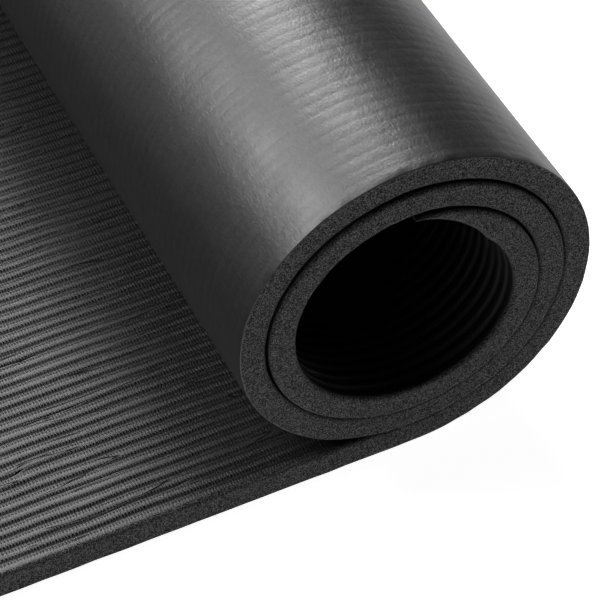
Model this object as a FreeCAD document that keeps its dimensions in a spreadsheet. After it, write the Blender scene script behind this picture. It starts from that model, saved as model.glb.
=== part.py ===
import FreeCAD, Part
import os

# Ribbed foam exercise mat, partly unrolled.
# +X runs along the mat towards the roll, +Y across its width, +Z up.
# The origin is on the floor, half way across the mat, where the sheet leaves the floor.

doc = FreeCAD.newDocument("exercise_mat")

# ---------------------------------------------------------------- driving dimensions (mm, degrees)

sheet = doc.addObject("Spreadsheet::Sheet", "sizes")

DRIVING = [
    ("mat_width", 610, "across the mat, 24 in"),
    ("mat_thickness", 12, "floor face to the top of the ribs"),
    ("rolled_thickness", 11.25, "the foam is squeezed a little in the roll"),
    ("layer_gap", 0.4, "air between two turns of the roll"),
    ("section_gap", 0.3, "air between neighbouring sections"),
    ("resting_length", 189, "flat part beside the roll"),
    ("pressed_length", 25, "flat part squeezed under the roll"),
    ("curling_length", 600, "flat part that lifts and curls"),
    ("curling_count", 10, "sections in the curling part"),
    ("section_turn", 22.5, "bend of one rolled section"),
    ("roll_radius", 79.4, "outer skin where the roll begins"),
    ("oval_size", 5.3, "the roll sags into an oval"),
    ("oval_turn", 29.7, "where the oval is widest"),
    ("egg_size", 1.5, "the oval is fuller at one end"),
    ("egg_turn", 4, "where the egg shape is widest"),
    ("bevel_drop", 5, "thickness lost over each bevelled section"),
]

for row, (name, value, note) in enumerate(DRIVING, start=1):
    sheet.set("A%d" % row, name)
    sheet.set("B%d" % row, str(value))
    sheet.setAlias("B%d" % row, name)
    sheet.set("C%d" % row, note)

doc.recompute()

CURLING_COUNT = int(sheet.curling_count)
SECTIONS_PER_TURN = round(360 / sheet.section_turn)
INNER_COUNT = 6
BEVEL_COUNT = 2
ROLLED_COUNT = 2 * SECTIONS_PER_TURN + INNER_COUNT + BEVEL_COUNT

# ---------------------------------------------------------------- worked-out dimensions

# One row for each rolled section: the bend radius of its outer skin and the centre of its bend.
# Radii shrink by one layer each turn, so every turn lies evenly inside the one before.
FIRST_ROLLED_ROW = len(DRIVING) + 2


def add_derived(cell, name, formula):
    sheet.set(cell, "=" + formula)
    sheet.setAlias(cell, name)


for index in range(1, ROLLED_COUNT + 1):
    row = FIRST_ROLLED_ROW + index
    middle = "(section_turn * %d - section_turn / 2)" % index
    start = "(section_turn * %d)" % (index - 1)
    radius = (
        "roll_radius - (rolled_thickness + layer_gap) * %s / 360"
        " + oval_size * cos((%s + oval_turn) * 2 * 1 deg)"
        " + egg_size * cos((%s + egg_turn) * 3 * 1 deg)" % (middle, middle, middle)
    )
    add_derived("B%d" % row, "bend_radius_%02d" % index, radius)
    if index == 1:
        centre_x = "0"
        centre_z = "bend_radius_01"
    else:
        step = "(bend_radius_%02d - bend_radius_%02d)" % (index, index - 1)
        centre_x = "bend_centre_x_%02d - %s * sin(%s * 1 deg)" % (index - 1, step, start)
        centre_z = "bend_centre_z_%02d + %s * cos(%s * 1 deg)" % (index - 1, step, start)
    add_derived("C%d" % row, "bend_centre_x_%02d" % index, centre_x)
    add_derived("D%d" % row, "bend_centre_z_%02d" % index, centre_z)

doc.recompute()

# ---------------------------------------------------------------- sub-parts

nodes = []


def flat_section(name, length, left_end, thickness="sizes.mat_thickness"):
    """A level stretch of the mat, from left_end to left_end + length, less the air at both ends."""
    block = doc.addObject("Part::Box", name)
    block.Label = name
    block.setExpression("Length", "(%s) * 1 mm - sizes.section_gap * 1 mm" % length)
    block.setExpression("Width", "sizes.mat_width * 1 mm")
    block.setExpression("Height", "%s * 1 mm" % thickness)
    block.setExpression("Placement.Base.x", "(%s) * 1 mm + sizes.section_gap / 2 * 1 mm" % left_end)
    block.setExpression("Placement.Base.y", "-sizes.mat_width / 2 * 1 mm")
    nodes.append(block)


def rolled_section(name, index, bevel_step):
    """One bent stretch of the roll. bevel_step is 0 for full thickness, then 1, 2 towards the edge."""
    radius = "sizes.bend_radius_%02d" % index
    start = "sizes.section_turn * %d" % (index - 1)
    inside = "(%s - sizes.rolled_thickness)" % radius
    gap_turn = "(sizes.section_gap / %s * 180 / pi)" % inside

    sector = doc.addObject("Part::Cylinder", name + "_sector")
    sector.setExpression("Radius", "%s * 1 mm" % radius)
    sector.setExpression("Height", "sizes.mat_width * 1 mm")
    sector.setExpression("Angle", "(sizes.section_turn - %s) * 1 deg" % gap_turn)
    sector.Placement = FreeCAD.Placement(FreeCAD.Vector(), FreeCAD.Rotation(FreeCAD.Vector(0, 0, 1), 1))
    sector.setExpression("Placement.Rotation.Angle", "(%s - 90 + %s / 2) * 1 deg" % (start, gap_turn))

    hollow = doc.addObject("Part::Cylinder", name + "_hollow")
    lost = "sizes.bevel_drop * %d" % max(bevel_step - 1, 0)
    hollow.setExpression("Radius", "(%s + %s) * 1 mm" % (inside, lost))
    hollow.setExpression("Height", "(sizes.mat_width + 2 * sizes.mat_thickness) * 1 mm")
    hollow.setExpression("Placement.Base.z", "-sizes.mat_thickness * 1 mm")
    if bevel_step:
        shift = "sizes.bevel_drop / sin(sizes.section_turn * 1 deg)"
        hollow.setExpression("Placement.Base.x", "%s * cos(%s * 1 deg) * 1 mm" % (shift, start))
        hollow.setExpression("Placement.Base.y", "%s * sin(%s * 1 deg) * 1 mm" % (shift, start))

    section = doc.addObject("Part::Cut", name)
    section.Label = name
    section.Base = sector
    section.Tool = hollow
    section.Placement = FreeCAD.Placement(FreeCAD.Vector(), FreeCAD.Rotation(FreeCAD.Vector(1, 0, 0), 90))
    section.setExpression("Placement.Base.x", "sizes.bend_centre_x_%02d * 1 mm" % index)
    section.setExpression("Placement.Base.y", "sizes.mat_width / 2 * 1 mm")
    section.setExpression("Placement.Base.z", "sizes.bend_centre_z_%02d * 1 mm" % index)
    nodes.append(section)


def rolled_name(index):
    """The turn a rolled section belongs to, counted from where the sheet leaves the floor."""
    if index <= SECTIONS_PER_TURN:
        return "outer_turn_%02d" % index
    if index <= 2 * SECTIONS_PER_TURN:
        return "middle_turn_%02d" % (index - SECTIONS_PER_TURN)
    if index <= ROLLED_COUNT - BEVEL_COUNT:
        return "inner_turn_%02d" % (index - 2 * SECTIONS_PER_TURN)
    return "bevelled_end_%d" % (index - ROLLED_COUNT + BEVEL_COUNT)


resting_start = "-sizes.resting_length - sizes.pressed_length"

flat_section("pressed_flat", "sizes.pressed_length", "-sizes.pressed_length", "sizes.rolled_thickness")
flat_section("resting_flat", "sizes.resting_length", resting_start)

for number in range(1, CURLING_COUNT + 1):
    step = "sizes.curling_length / sizes.curling_count"
    flat_section("curling_flat_%02d" % number, step, "%s - %s * %d" % (resting_start, step, number))

for index in range(1, ROLLED_COUNT + 1):
    rolled_section(rolled_name(index), index, max(index - ROLLED_COUNT + BEVEL_COUNT, 0))

doc.recompute()

# ---------------------------------------------------------------- checks and export

for item in doc.Objects:
    if "Invalid" in item.State or "Error" in item.State:
        raise RuntimeError("%s did not build: %s" % (item.Label, item.State))

for node in nodes:
    if node.Shape.isNull() or not node.Shape.isValid():
        raise RuntimeError("%s has no valid solid" % node.Label)
    if len(node.Shape.Solids) != 1:
        raise RuntimeError("%s is not one solid" % node.Label)

os.makedirs("parts", exist_ok=True)

for node in nodes:
    node.Shape.exportStep("parts/%s.step" % node.Label)

print("built", len(nodes), "sections")
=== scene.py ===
import math

import bpy
import numpy as np
from mathutils import Matrix, Vector

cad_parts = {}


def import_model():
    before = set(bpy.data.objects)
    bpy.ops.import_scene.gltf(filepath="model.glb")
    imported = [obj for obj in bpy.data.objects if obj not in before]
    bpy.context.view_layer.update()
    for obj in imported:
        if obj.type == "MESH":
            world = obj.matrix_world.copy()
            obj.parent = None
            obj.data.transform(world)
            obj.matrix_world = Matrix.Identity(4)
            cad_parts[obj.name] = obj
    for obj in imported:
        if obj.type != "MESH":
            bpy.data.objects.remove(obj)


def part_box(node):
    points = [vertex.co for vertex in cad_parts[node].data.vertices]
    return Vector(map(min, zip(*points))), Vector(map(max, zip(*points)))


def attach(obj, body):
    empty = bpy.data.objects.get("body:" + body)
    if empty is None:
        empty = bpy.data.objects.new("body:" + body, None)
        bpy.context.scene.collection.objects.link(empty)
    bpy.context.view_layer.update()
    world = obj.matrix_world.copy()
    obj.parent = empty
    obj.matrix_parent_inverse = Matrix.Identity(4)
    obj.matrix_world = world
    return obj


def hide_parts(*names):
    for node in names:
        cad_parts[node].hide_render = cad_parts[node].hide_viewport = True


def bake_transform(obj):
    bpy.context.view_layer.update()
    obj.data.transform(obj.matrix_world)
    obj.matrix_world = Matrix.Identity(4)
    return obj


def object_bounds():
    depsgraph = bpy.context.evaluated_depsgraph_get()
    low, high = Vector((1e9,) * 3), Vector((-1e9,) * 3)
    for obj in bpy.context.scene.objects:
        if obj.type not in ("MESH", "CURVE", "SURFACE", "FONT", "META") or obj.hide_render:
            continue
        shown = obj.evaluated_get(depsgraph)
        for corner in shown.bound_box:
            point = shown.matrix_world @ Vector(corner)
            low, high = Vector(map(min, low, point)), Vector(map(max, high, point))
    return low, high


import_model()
cad_low, cad_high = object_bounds()

# ---------------------------------------------------------------- the mat's sizes (metres, degrees)

MM = 0.001

WIDTH = cad_high[1] - cad_low[1]
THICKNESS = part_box("resting_flat")[1].z
FREE_END_X = cad_low[0]
RESTING_START_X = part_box("resting_flat")[0].x

# The roll: its radius shrinks by one layer each turn, on an oval and a slight egg shape.
SECTION_TURN = 22.5
TURN_SECTIONS = 16
ROLLED_SECTIONS = 40
ROLLED_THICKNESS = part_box("pressed_flat")[1].z
PRESSED_START_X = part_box("pressed_flat")[0].x
LAYER_GAP = 0.4 * MM
LAYER_PITCH = ROLLED_THICKNESS + LAYER_GAP
ROLL_RADIUS = 79.4 * MM
OVAL_SIZE = 5.3 * MM
OVAL_TURN = 29.7
EGG_SIZE = 1.5 * MM
EGG_TURN = 4
BEVEL_SECTIONS = 2
BEVEL_DROP = 5.2 * MM

# Each turn stands out further at the near end than the one outside it.
INNER_TURN_STEP_OUT = 1.3 * MM

# Sections of the flat part, and stations to a section.
CURLING_SECTIONS = 10
CURLING_STEPS = 6
RESTING_STEPS = 30
ROLLED_STEPS = 6

# Where the pieces meet, and how many of the rolled sections move on their own.
UNROLLING = 12
CURLED_END_SECTIONS = 6
FIRST_END_SECTION = ROLLED_SECTIONS - CURLED_END_SECTIONS + 1
FLAT_INTO_RESTING = 3
FLAT_BEFORE_ROLL = 2
RESTING_NODES = ["resting_flat", "pressed_flat"]

# The ribs, which run along the mat with a valley at each cut edge.
RIB_COUNT = 112
RIB_DEPTH = 0.75 * MM
RIB_BLUNTNESS = 2.1
RIB_WANDER = 0.45 * MM
RIB_WANDER_LENGTH = 38 * MM
RIB_SAMPLES = (0.0, 0.12, 0.32, 0.68, 0.88)
STEADY_POINTS = 3

# Cut edges. The smooth face's corner is rounder where the turns outside cover it.
TOP_CORNER = 1.6 * MM
SKIN_CORNER = 0.35 * MM
INNER_SKIN_CORNER = 1.4 * MM
COVERED_FROM = 330
COVERED_OVER = 30
CORNER_STEPS = 4
EDGE_SAMPLES = 7
EDGE_CLEARANCE = 1.2 * TOP_CORNER
EDGE_WANDER = 0.3 * MM
EDGE_WANDER_LENGTH = 9 * MM
EDGE_WANDER_SQUEEZE = 3

# Unevenness of the two faces.
TOP_WAVE = 0.3 * MM
TOP_WAVE_LENGTH = 45 * MM
SKIN_RING = 0.05 * MM
SKIN_WAVE = 0.15 * MM
SKIN_WAVE_LENGTH = 40 * MM
SHORTEST_WAVE = 0.7
WAVE_SPREAD = 0.9
TOP_SEED = 3
SKIN_SEED = 4
EDGE_SEED = 5
RIB_SEED = 8


# ---------------------------------------------------------------- unevenness

def wobble(along, across, wavelength, seed, count=7):
    """A smooth unevenness of size about one, the same on each run."""
    chance = np.random.default_rng(seed)
    total = np.zeros(np.broadcast(along, across).shape)
    for turn, phase, stretch in chance.random((count, 3)):
        size = 2 * math.pi / (wavelength * (SHORTEST_WAVE + WAVE_SPREAD * stretch))
        angle = 2 * math.pi * turn
        total += np.sin(size * (along * math.cos(angle) + across * math.sin(angle)) + 2 * math.pi * phase)
    return total / math.sqrt(count / 2) / 2


# ---------------------------------------------------------------- the line of the mat, seen from its edge

def bend_radius(section):
    """Smooth face to the centre of the bend, for a rolled section counted from one."""
    middle = SECTION_TURN * (section - 0.5)
    shrink = LAYER_PITCH * middle / 360
    oval = OVAL_SIZE * math.cos(math.radians(2 * (middle + OVAL_TURN)))
    egg = EGG_SIZE * math.cos(math.radians(3 * (middle + EGG_TURN)))
    return ROLL_RADIUS - shrink + oval + egg


def bevel_loss(heading):
    """Thickness cut away at this heading, from the sloping cut across the end of the sheet."""
    first = SECTION_TURN * (ROLLED_SECTIONS - BEVEL_SECTIONS)
    loss = 0.0
    for cut in range(BEVEL_SECTIONS):
        into = heading - first - cut * SECTION_TURN
        into = min(max(into, 0), SECTION_TURN)
        loss += BEVEL_DROP * math.sin(math.radians(into)) / math.sin(math.radians(SECTION_TURN))
    return loss


def squeezed_thickness(x):
    """The flat part thins where the roll presses on it."""
    share = min(max((x - PRESSED_START_X) / -PRESSED_START_X, 0), 1)
    eased = share * share * (3 - 2 * share)
    return THICKNESS + (ROLLED_THICKNESS - THICKNESS) * eased


def mat_line():
    """Stations along the mat: x and z of the smooth face, heading, distance along and thickness."""
    rows = []
    curling = np.linspace(FREE_END_X, RESTING_START_X, CURLING_SECTIONS * CURLING_STEPS + 1)
    resting = np.linspace(RESTING_START_X, 0, RESTING_STEPS + 1)
    for x in list(curling[:-1]) + list(resting):
        rows.append((x, 0.0, 0.0, x, squeezed_thickness(x)))

    radius = bend_radius(1)
    centre = np.array([0.0, radius])
    distance = 0.0
    for section in range(1, ROLLED_SECTIONS + 1):
        start = SECTION_TURN * (section - 1)
        if section > 1:
            towards_centre = np.array([-math.sin(math.radians(start)), math.cos(math.radians(start))])
            centre = centre + (bend_radius(section) - radius) * towards_centre
            radius = bend_radius(section)
        for step in range(1, ROLLED_STEPS + 1):
            heading = start + SECTION_TURN * step / ROLLED_STEPS
            angle = math.radians(heading)
            distance += radius * math.radians(SECTION_TURN / ROLLED_STEPS)
            x = centre[0] + radius * math.sin(angle)
            z = centre[1] - radius * math.cos(angle)
            rows.append((x, z, heading, distance, ROLLED_THICKNESS - bevel_loss(heading)))
    return np.array(rows)


LINE = mat_line()
SKIN_X, SKIN_Z, HEADING, ALONG, DEPTH = LINE.T
ORIGIN_STATION = CURLING_SECTIONS * CURLING_STEPS + RESTING_STEPS


def curling_middle(number):
    return (CURLING_SECTIONS - number) * CURLING_STEPS + CURLING_STEPS // 2


def rolled_middle(number):
    return ORIGIN_STATION + (number - 1) * ROLLED_STEPS + ROLLED_STEPS // 2


# ---------------------------------------------------------------- the cross-section, as a closed ring

def rib_height(across):
    """Height of the ribs above their valleys, from 0 to 1."""
    phase = (across + WIDTH / 2) / (WIDTH / RIB_COUNT)
    place = phase - np.floor(phase)
    return 1 - np.abs(2 * place - 1) ** RIB_BLUNTNESS


def face_positions(corner):
    """Positions across the mat for one face, near edge to far edge, inside the rounded corners."""
    pitch = WIDTH / RIB_COUNT
    side = WIDTH / 2
    inner = [-side + (rib + sample) * pitch for rib in range(RIB_COUNT) for sample in RIB_SAMPLES]
    inner = [place for place in inner if -side + EDGE_CLEARANCE < place < side - EDGE_CLEARANCE]
    return np.array([-side + corner] + inner + [side - corner])


TOP_Y = face_positions(TOP_CORNER)
SKIN_Y = face_positions(SKIN_CORNER)
COVERED = np.clip((HEADING - COVERED_FROM) / COVERED_OVER, 0, 1)
SKIN_CORNERS = SKIN_CORNER + (INNER_SKIN_CORNER - SKIN_CORNER) * COVERED
FACE_COUNT = len(TOP_Y)
EDGE_COUNT = EDGE_SAMPLES + 2 * CORNER_STEPS
RING_COUNT = 2 * FACE_COUNT + 2 * EDGE_COUNT
TOP = slice(0, FACE_COUNT)
FAR_EDGE = slice(FACE_COUNT, FACE_COUNT + EDGE_COUNT)
BOTTOM = slice(FACE_COUNT + EDGE_COUNT, 2 * FACE_COUNT + EDGE_COUNT)
NEAR_EDGE = slice(2 * FACE_COUNT + EDGE_COUNT, RING_COUNT)


def edge_rows(top_height, skin_height):
    """Down one cut edge, round both corners: how far in from the edge, and the height."""
    room = top_height - skin_height
    small = np.minimum(1, room / (TOP_CORNER + INNER_SKIN_CORNER + SKIN_CORNER))
    everywhere = np.ones_like(small)
    top_corner, skin_corner = TOP_CORNER * small, SKIN_CORNERS * small
    rows = []
    for step in range(1, CORNER_STEPS + 1):
        angle = math.pi / 2 * step / CORNER_STEPS
        inward = TOP_CORNER * (1 - math.sin(angle)) * everywhere
        rows.append((inward, top_height - top_corner * (1 - math.cos(angle))))
    low, high = skin_height + skin_corner, top_height - top_corner
    for step in range(1, EDGE_SAMPLES + 1):
        rows.append((0 * everywhere, high + (low - high) * step / (EDGE_SAMPLES + 1)))
    for step in range(CORNER_STEPS):
        angle = math.pi / 2 * step / CORNER_STEPS
        rows.append((SKIN_CORNERS * (1 - math.cos(angle)), low - skin_corner * math.sin(angle)))
    inward, height = zip(*rows)
    return np.stack(inward, 1), np.stack(height, 1)


def rings():
    """Across, height and rib position of every ring point at every station."""
    stations = len(ALONG)
    across = np.zeros((stations, RING_COUNT))
    height = np.zeros((stations, RING_COUNT))
    along = ALONG[:, None]
    loss = np.array([bevel_loss(heading) for heading in HEADING])[:, None]
    ribs = np.maximum(RIB_DEPTH - loss, 0) * (rib_height(TOP_Y)[None, :] - 1)
    wave = TOP_WAVE * (wobble(along, TOP_Y[None, :], TOP_WAVE_LENGTH, TOP_SEED) - 1) / 2
    across[:, TOP] = TOP_Y
    height[:, TOP] = DEPTH[:, None] + ribs + wave * (DEPTH / THICKNESS)[:, None]
    ring_ripple = SKIN_RING * (1 - rib_height(SKIN_Y))[None, :]
    skin_wave = SKIN_WAVE * (wobble(along, SKIN_Y[None, :], SKIN_WAVE_LENGTH, SKIN_SEED) + 1) / 2
    skin = ring_ripple + skin_wave
    across[:, BOTTOM] = SKIN_Y[::-1]
    across[:, BOTTOM.start] -= SKIN_CORNERS - SKIN_CORNER
    across[:, BOTTOM.stop - 1] += SKIN_CORNERS - SKIN_CORNER
    height[:, BOTTOM] = skin[:, ::-1]
    for edge, side, end in ((FAR_EDGE, 1, -1), (NEAR_EDGE, -1, 0)):
        inward, up = edge_rows(height[:, TOP][:, end], height[:, BOTTOM][:, -1 - end])
        uneven = wobble(along, up * EDGE_WANDER_SQUEEZE, EDGE_WANDER_LENGTH, EDGE_SEED + side)
        out = side * (WIDTH / 2 - inward + EDGE_WANDER * uneven / 2)
        across[:, edge] = out if side > 0 else out[:, ::-1]
        height[:, edge] = up if side > 0 else up[:, ::-1]
    marks = across.copy()
    middle = slice(STEADY_POINTS, FACE_COUNT - STEADY_POINTS)
    across[:, middle] += RIB_WANDER * wobble(along, TOP_Y[None, middle], RIB_WANDER_LENGTH, RIB_SEED) / 2
    across += (-INNER_TURN_STEP_OUT * HEADING / 360)[:, None]
    return across, height, marks


ACROSS, HEIGHT, ACROSS_MARK = rings()
HEADINGS = np.radians(HEADING)[:, None]
POINTS = np.stack([
    SKIN_X[:, None] - np.sin(HEADINGS) * HEIGHT,
    ACROSS,
    SKIN_Z[:, None] + np.cos(HEADINGS) * HEIGHT,
], axis=-1)


SMALLEST_LENGTH = 1e-12


def unit(vectors):
    return vectors / np.maximum(np.linalg.norm(vectors, axis=-1, keepdims=True), SMALLEST_LENGTH)


def surface_normals():
    """Smooth normals of the whole mat, so that no piece shows where it ends."""
    step = POINTS[1:] - POINTS[:-1]
    lengthwise = np.concatenate([step[:1], unit(step[1:]) + unit(step[:-1]), step[-1:]])
    side = unit(np.roll(POINTS, -1, axis=1) - POINTS)
    crosswise = side + np.roll(side, 1, axis=1)
    return unit(np.cross(lengthwise, crosswise))


NORMALS = surface_normals()


# ---------------------------------------------------------------- materials

RIBBED, SKIN, CUT = range(3)
CRACK_PITCH = 1.3 * MM
CRACK_DEPTH = 0.90 * MM
SATIN_SHINE = 0.75
DULL_SHINE = 0.3

# Base colours: near black for the ribs, skin and foam cells, a blacker painted shade inside the cracks and
# creases, and greys for the skin's grain and the walls between the cells.
CRACK_SHADE_BLACK = (0.002, 0.002, 0.002)
RIB_BLACK = (0.007, 0.007, 0.0075)
SKIN_BLACK = (0.007, 0.007, 0.0075)
SKIN_GREY = (0.019, 0.019, 0.0195)
CELL_BLACK = (0.009, 0.009, 0.0095)
WALL_GREY = (0.21, 0.21, 0.212)


class Nodes:
    """Short names for building a node material."""

    def __init__(self, name):
        self.material = bpy.data.materials.new(name)
        self.material.use_nodes = True
        self.tree = self.material.node_tree
        self.shader = self.tree.nodes["Principled BSDF"]

    def node(self, kind, **settings):
        made = self.tree.nodes.new(kind)
        for key, value in settings.items():
            setattr(made, key, value)
        return made

    def link(self, source, target):
        self.tree.links.new(source, target)

    def place(self, scale):
        """Distance along, across and up through the mat, times a scale for each."""
        attribute = self.node("ShaderNodeAttribute", attribute_name="mat")
        mapping = self.node("ShaderNodeMapping")
        mapping.inputs["Scale"].default_value = scale
        self.link(attribute.outputs["Vector"], mapping.inputs["Vector"])
        return mapping.outputs["Vector"]

    def noise(self, scale, detail=3.0, roughness=0.55, distortion=0.0):
        made = self.node("ShaderNodeTexNoise")
        made.inputs["Scale"].default_value = 1.0
        made.inputs["Detail"].default_value = detail
        made.inputs["Roughness"].default_value = roughness
        made.inputs["Distortion"].default_value = distortion
        self.link(self.place(scale), made.inputs["Vector"])
        return made.outputs["Fac"]

    def cells(self, scale, feature="F1"):
        made = self.node("ShaderNodeTexVoronoi", feature=feature)
        made.inputs["Scale"].default_value = 1.0
        self.link(self.place(scale), made.inputs["Vector"])
        return made.outputs["Distance"]

    def curve(self, value, *stops):
        """A colour ramp from (place, brightness) pairs."""
        ramp = self.node("ShaderNodeValToRGB")
        elements = ramp.color_ramp.elements
        while len(elements) < len(stops):
            elements.new(0.5)
        for element, (where, bright) in zip(elements, stops):
            element.position = where
            element.color = (bright, bright, bright, 1)
        self.link(value, ramp.inputs["Fac"])
        return ramp.outputs["Color"]

    def maths(self, operation, first, second=0.0, third=0.0):
        made = self.node("ShaderNodeMath", operation=operation)
        for socket, value in zip(made.inputs, (first, second, third)):
            if isinstance(value, (int, float)):
                socket.default_value = value
            else:
                self.link(value, socket)
        return made.outputs[0]

    def bump(self, height, distance, strength=1.0, under=None):
        made = self.node("ShaderNodeBump")
        made.inputs["Distance"].default_value = distance
        made.inputs["Strength"].default_value = strength
        self.link(height, made.inputs["Height"])
        if under is not None:
            self.link(under, made.inputs["Normal"])
        return made.outputs["Normal"]

    def colour(self, value, dark, light):
        mix = self.node("ShaderNodeMix", data_type="RGBA")
        mix.inputs["A"].default_value = (*dark, 1)
        mix.inputs["B"].default_value = (*light, 1)
        self.link(value, mix.inputs["Factor"])
        self.link(mix.outputs["Result"], self.shader.inputs["Base Color"])


def valley_cracks_and_shade(made):
    """Rows of short cracks across the mat, mostly in the valleys between the ribs and in patches; the mask
    bumps them in and paints shade into them.
    """
    separate = made.node("ShaderNodeSeparateXYZ")
    made.link(made.place((1, 1, 1)), separate.inputs["Vector"])
    turns = made.maths("MULTIPLY", separate.outputs["Y"], 2 * math.pi * RIB_COUNT / WIDTH)
    depth = made.maths("MULTIPLY_ADD", made.maths("COSINE", turns), 0.5, 0.5)
    valley = made.curve(depth, (0.25, 0.10), (0.75, 1.0))
    drift = made.maths("MULTIPLY", made.noise((260, 170, 100), 1.0, 0.5), 6.0)
    phase = made.maths("MULTIPLY_ADD", separate.outputs["X"], 2 * math.pi / CRACK_PITCH, drift)
    strokes = made.curve(made.maths("SINE", phase), (0.10, 0.0), (0.75, 1.0))
    patches = made.curve(made.noise((30, 55, 10), 2.0), (0.38, 0.25), (0.58, 1.0))
    return made.maths("MULTIPLY", made.maths("MULTIPLY", strokes, valley), patches)


def long_creases_and_shade(made):
    """A few thin creases along the mat; the mask bumps them in and paints shade into them."""
    line = made.maths("ABSOLUTE", made.maths("SUBTRACT", made.noise((9, 130, 40), 2.0, 0.4), 0.5))
    thin = made.curve(line, (0.0, 1.0), (0.006, 0.0))
    here = made.curve(made.noise((14, 40, 10), 1.0), (0.52, 0.0), (0.60, 1.0))
    return made.maths("MULTIPLY", thin, here)


def ribbed_material():
    """The ribbed face: satin skin with a fine grain, cracks and creases, with shade painted blacker into the
    cracks and creases.
    """
    made = Nodes("ribbed_face")
    marks = made.maths("ADD", valley_cracks_and_shade(made), long_creases_and_shade(made))
    grain = made.noise((2300, 1500, 900), 3.0, 0.6)
    fine = made.bump(grain, 0.16 * MM, 0.8)
    marked = made.bump(made.maths("MULTIPLY", marks, -1.0), CRACK_DEPTH, 1.0, fine)
    made.link(marked, made.shader.inputs["Normal"])
    # Painted shade: the bumped cracks and creases are coloured blacker than the ribs.
    made.colour(marks, RIB_BLACK, CRACK_SHADE_BLACK)
    made.link(made.maths("MULTIPLY_ADD", grain, 0.14, 0.42), made.shader.inputs["Roughness"])
    made.shader.inputs["Specular IOR Level"].default_value = SATIN_SHINE
    return made.material


def skin_material():
    """The smooth face: satin skin with a fine grain drawn out across the mat, and faint ripples along it."""
    made = Nodes("smooth_skin")
    grain = made.noise((1250, 420, 400), 4.0, 0.65, 0.8)
    pebble = made.cells((1100, 900, 600), "SMOOTH_F1")
    rings = made.noise((25, 330, 40), 2.0)
    soft = made.noise((90, 60, 40), 2.0)
    fine = made.bump(made.maths("ADD", grain, made.maths("MULTIPLY", pebble, 0.5)), 0.10 * MM, 0.8)
    rippled = made.bump(rings, 0.16 * MM, 0.3, fine)
    broad = made.bump(soft, 0.6 * MM, 0.4, rippled)
    made.link(broad, made.shader.inputs["Normal"])
    made.colour(made.curve(grain, (0.38, 0.0), (0.62, 1.0)), SKIN_BLACK, SKIN_GREY)
    made.link(made.maths("MULTIPLY_ADD", soft, 0.12, 0.38), made.shader.inputs["Roughness"])
    made.shader.inputs["Specular IOR Level"].default_value = SATIN_SHINE
    return made.material


def cut_material():
    """The cut edges: open foam cells with pale walls."""
    made = Nodes("cut_foam")
    cell = made.cells((2600, 2600, 2600))
    speckle = made.noise((2100, 2100, 2100), 2.0, 0.7)
    walls = made.maths("ADD", cell, made.maths("MULTIPLY", speckle, 0.8))
    made.link(made.bump(walls, 0.40 * MM, 1.0), made.shader.inputs["Normal"])
    spots = made.curve(speckle, (0.45, 0.0), (0.58, 1.0))
    shade = made.maths("MULTIPLY", spots, made.curve(cell, (0.15, 0.35), (0.65, 1.0)))
    made.colour(shade, CELL_BLACK, WALL_GREY)
    made.shader.inputs["Roughness"].default_value = 0.9
    made.shader.inputs["Specular IOR Level"].default_value = DULL_SHINE
    return made.material


MATERIALS = [ribbed_material(), skin_material(), cut_material()]


# ---------------------------------------------------------------- pieces

def ring_materials():
    """The material of each quad round the ring, at every station. Skin wraps the corner where it is open."""
    kinds = np.full((len(ALONG), RING_COUNT), CUT)
    kinds[:, 0:FACE_COUNT - 1] = RIBBED
    kinds[:, BOTTOM.start:BOTTOM.stop - 1] = SKIN
    wrapped = COVERED == 0
    kinds[wrapped, BOTTOM.start - CORNER_STEPS:BOTTOM.start] = SKIN
    kinds[wrapped, BOTTOM.stop - 1:BOTTOM.stop - 1 + CORNER_STEPS] = SKIN
    return kinds


RING_MATERIAL = ring_materials()


def grid_faces(stations):
    """Corner numbers of the quads that join each ring to the next."""
    row = np.arange(RING_COUNT)
    after = np.roll(row, -1)
    base = (np.arange(stations - 1) * RING_COUNT)[:, None]
    corners = [base + row, base + RING_COUNT + row, base + RING_COUNT + after, base + after]
    return np.stack(corners, -1).reshape(-1, 4)


def cap_faces(first_corner, forward):
    """Closes one end: quads between the two faces, and a small polygon at each cut edge."""
    top = np.arange(FACE_COUNT)
    bottom = BOTTOM.stop - 1 - top
    quads = np.stack([top[:-1], top[1:], bottom[1:], bottom[:-1]], -1) + first_corner
    far = np.array([FACE_COUNT - 1, *range(FAR_EDGE.start, FAR_EDGE.stop), BOTTOM.start]) + first_corner
    near = np.array([BOTTOM.stop - 1, *range(NEAR_EDGE.start, NEAR_EDGE.stop), 0]) + first_corner
    faces = [list(face) for face in quads.tolist()] + [far.tolist(), near.tolist()]
    if forward:
        faces = [face[::-1] for face in faces]
    return faces


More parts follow.
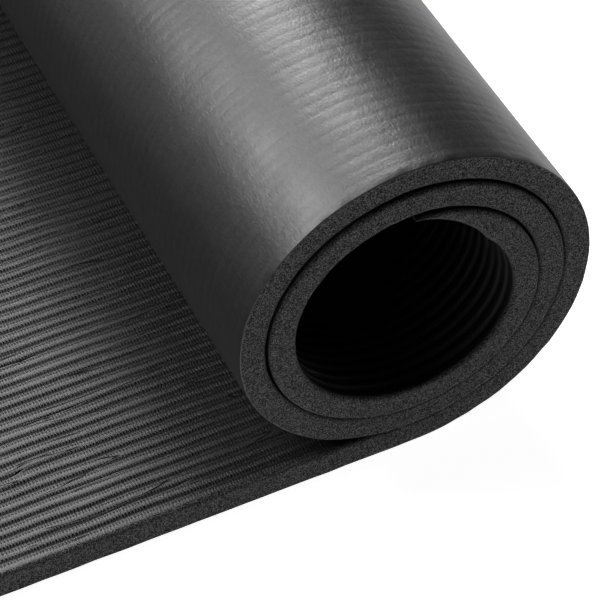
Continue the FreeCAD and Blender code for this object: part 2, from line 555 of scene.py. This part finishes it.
def new_piece(name, first, last):
    """The length of mat between two stations, as a closed mesh."""
    stations = last - first + 1
    points = POINTS[first:last + 1].reshape(-1, 3)
    normals = NORMALS[first:last + 1].reshape(-1, 3)
    sides = grid_faces(stations)
    caps = cap_faces(0, False) + cap_faces((stations - 1) * RING_COUNT, True)
    corners = np.concatenate([sides.reshape(-1)] + [np.array(face) for face in caps])
    sizes = np.array([4] * len(sides) + [len(face) for face in caps])
    starts = np.concatenate([[0], np.cumsum(sizes)[:-1]])

    mesh = bpy.data.meshes.new(name)
    mesh.vertices.add(len(points))
    mesh.vertices.foreach_set("co", points.reshape(-1))
    mesh.loops.add(len(corners))
    mesh.loops.foreach_set("vertex_index", corners)
    mesh.polygons.add(len(sizes))
    mesh.polygons.foreach_set("loop_start", starts)
    mesh.update(calc_edges=True)
    for material in MATERIALS:
        mesh.materials.append(material)
    kinds = np.concatenate([RING_MATERIAL[first:last].reshape(-1), np.full(len(caps), CUT)])
    mesh.polygons.foreach_set("material_index", kinds)

    place = mesh.attributes.new("mat", "FLOAT_VECTOR", "POINT")
    along = np.repeat(ALONG[first:last + 1], RING_COUNT)
    across = ACROSS_MARK[first:last + 1].reshape(-1)
    height = HEIGHT[first:last + 1].reshape(-1)
    place.data.foreach_set("vector", np.stack([along, across, height], -1).reshape(-1))

    corner_normals = normals[corners]
    cap_start = len(sides) * 4
    end_normal = np.zeros((len(corners) - cap_start, 3))
    half = len(end_normal) // 2
    for part, station, sign in ((slice(0, half), first, -1), (slice(half, None), last, 1)):
        angle = math.radians(HEADING[station])
        end_normal[part] = (sign * math.cos(angle), 0, sign * math.sin(angle))
    corner_normals[cap_start:] = end_normal
    mesh.polygons.foreach_set("use_smooth", np.ones(len(sizes), bool))
    mesh.normals_split_custom_set(corner_normals.tolist())

    piece = bpy.data.objects.new(name, mesh)
    bpy.context.collection.objects.link(piece)
    return piece


def riding_piece(name, first, last, body, nodes):
    piece = new_piece(name, first, last)
    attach(piece, body)
    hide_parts(*nodes)


def bending_piece(first, last, body_before, body_after, nodes):
    """A length of mat between two bodies, named after both, with its place baked in and no parent."""
    piece = new_piece("foam_" + body_before + "_to_" + body_after, first, last)
    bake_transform(piece)
    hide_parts(*nodes)


def rolled_node(number):
    if number <= TURN_SECTIONS:
        return "outer_turn_%02d" % number
    if number <= 2 * TURN_SECTIONS:
        return "middle_turn_%02d" % (number - TURN_SECTIONS)
    if number <= ROLLED_SECTIONS - BEVEL_SECTIONS:
        return "inner_turn_%02d" % (number - 2 * TURN_SECTIONS)
    return "bevelled_end_%d" % (number - ROLLED_SECTIONS + BEVEL_SECTIONS)


def curling_node(number):
    return "curling_flat_%02d" % number


def make_flat_pieces():
    last = curling_node(CURLING_SECTIONS)
    riding_piece("foam_free_end", 0, curling_middle(CURLING_SECTIONS), last, [last])
    for number in range(CURLING_SECTIONS, 1, -1):
        one, other = curling_node(number), curling_node(number - 1)
        bending_piece(curling_middle(number), curling_middle(number - 1), one, other, [one, other])
    first = curling_node(1)
    resting_start = CURLING_SECTIONS * CURLING_STEPS
    inside = resting_start + FLAT_INTO_RESTING
    bending_piece(curling_middle(1), inside, first, "resting_flat", [first, "resting_flat"])
    riding_piece("foam_resting", inside, ORIGIN_STATION - FLAT_BEFORE_ROLL, "resting_flat", RESTING_NODES)


def make_rolled_pieces():
    first = rolled_node(1)
    start = ORIGIN_STATION - FLAT_BEFORE_ROLL
    bending_piece(start, rolled_middle(1), "resting_flat", first, ["pressed_flat", first])
    for number in range(1, UNROLLING):
        one, other = rolled_node(number), rolled_node(number + 1)
        bending_piece(rolled_middle(number), rolled_middle(number + 1), one, other, [one, other])
    last = rolled_node(UNROLLING)
    roll_start = rolled_middle(UNROLLING + 1)
    roll_end = rolled_middle(FIRST_END_SECTION - 1)
    bending_piece(rolled_middle(UNROLLING), roll_start, last, "roll", [last, rolled_node(UNROLLING + 1)])
    riding = [rolled_node(number) for number in range(UNROLLING + 1, FIRST_END_SECTION)]
    riding_piece("foam_roll", roll_start, roll_end, "roll", riding)


def make_end_pieces():
    before = "roll"
    for number in range(FIRST_END_SECTION, ROLLED_SECTIONS + 1):
        after = rolled_node(number)
        nodes = [rolled_node(number - 1), after]
        bending_piece(rolled_middle(number - 1), rolled_middle(number), before, after, nodes)
        before = after
    riding_piece("foam_rolled_in_end", rolled_middle(ROLLED_SECTIONS), len(ALONG) - 1, before, [before])


make_flat_pieces()
make_rolled_pieces()
make_end_pieces()


# ---------------------------------------------------------------- floor, light and camera

FLOOR_REACH = 6.0
FLOOR_DROP = 0.4 * MM
FLOOR_GREY = (0.55, 0.55, 0.55, 1)
FLOOR_GLOW = 0.95
WHITE = (1, 1, 1, 1)
WORLD_GLOW = 0.03

CAMERA_PLACE = (-0.34638, -0.92404, 0.83309)
CAMERA_LOOK = (0.2981, 0.61793, -0.72753)
CAMERA_ROLL = -0.338
CAMERA_LENS = 165.44
CAMERA_SENSOR = 36
CAMERA_NEAREST = 0.01
VIEW_GAMMA = 0.85

# Points in the roll that the lights aim at.
ROLL_MIDDLE = (0, 0, 0.07)
ROLL_SIDE = (0, 0, 0.10)
ROLL_NEAR_SIDE = (0, -0.25, 0.10)
ROLL_NEAR_END = (-0.02, -0.28, 0.10)
ROLL_HOLLOW = (0, -0.3, 0.05)

# Name, place, target, size (metres) and power (watts) of each soft light.
LIGHTS = [
    ("key", (0.16, 1.07, 1.18), ROLL_MIDDLE, (0.7, 0.9), 13.5),
    ("small_key", (0.30, 1.15, 1.05), ROLL_MIDDLE, (0.5, 0.5), 17.5),
    ("left_middle", (-0.55, 0.55, 0.75), ROLL_SIDE, (0.3, 0.3), 1.4),
    ("left_near", (-0.30, 0.10, 0.62), ROLL_NEAR_SIDE, (0.25, 0.25), 0.7),
    ("left_end", (-0.36, -0.04, 0.50), ROLL_NEAR_END, (0.3, 0.3), 2.8),
    ("core_light", (-0.7, -0.72, 0.9), ROLL_HOLLOW, (0.5, 0.5), 0.5),
]


def floor():
    mesh = bpy.data.meshes.new("floor")
    reach = FLOOR_REACH
    corners = [(-reach, -reach, 0), (reach, -reach, 0), (reach, reach, 0), (-reach, reach, 0)]
    mesh.from_pydata(corners, [], [(0, 1, 2, 3)])
    made = Nodes("pale_floor")
    made.shader.inputs["Base Color"].default_value = FLOOR_GREY
    made.shader.inputs["Roughness"].default_value = 0.7
    made.shader.inputs["Emission Color"].default_value = WHITE
    made.shader.inputs["Emission Strength"].default_value = FLOOR_GLOW
    mesh.materials.append(made.material)
    plate = bpy.data.objects.new("floor", mesh)
    plate.location.z = -FLOOR_DROP
    bpy.context.collection.objects.link(plate)


def softbox(name, place, target, size, power):
    light = bpy.data.lights.new(name, "AREA")
    light.shape = "RECTANGLE"
    light.size, light.size_y = size
    light.energy = power
    lamp = bpy.data.objects.new(name, light)
    lamp.location = place
    lamp.rotation_euler = (Vector(place) - Vector(target)).to_track_quat("Z", "Y").to_euler()
    bpy.context.collection.objects.link(lamp)


def world(strength):
    made = bpy.data.worlds.new("studio")
    made.use_nodes = True
    made.node_tree.nodes["Background"].inputs["Color"].default_value = WHITE
    made.node_tree.nodes["Background"].inputs["Strength"].default_value = strength
    bpy.context.scene.world = made


def camera():
    data = bpy.data.cameras.new("camera")
    data.sensor_width = CAMERA_SENSOR
    data.lens = CAMERA_LENS
    data.clip_start = CAMERA_NEAREST
    look = Vector(CAMERA_LOOK).normalized()
    level = look.cross(Vector((0, 0, 1))).normalized()
    above = level.cross(look)
    roll = math.radians(CAMERA_ROLL)
    right = math.cos(roll) * level + math.sin(roll) * above
    up = -math.sin(roll) * level + math.cos(roll) * above
    turn = Matrix((right, up, -look)).transposed()
    made = bpy.data.objects.new("camera", data)
    made.matrix_world = Matrix.Translation(Vector(CAMERA_PLACE)) @ turn.to_4x4()
    bpy.context.collection.objects.link(made)
    bpy.context.scene.camera = made


floor()
world(WORLD_GLOW)
for light in LIGHTS:
    softbox(*light)
camera()
bpy.context.scene.view_settings.view_transform = "Standard"
bpy.context.scene.view_settings.gamma = VIEW_GAMMA
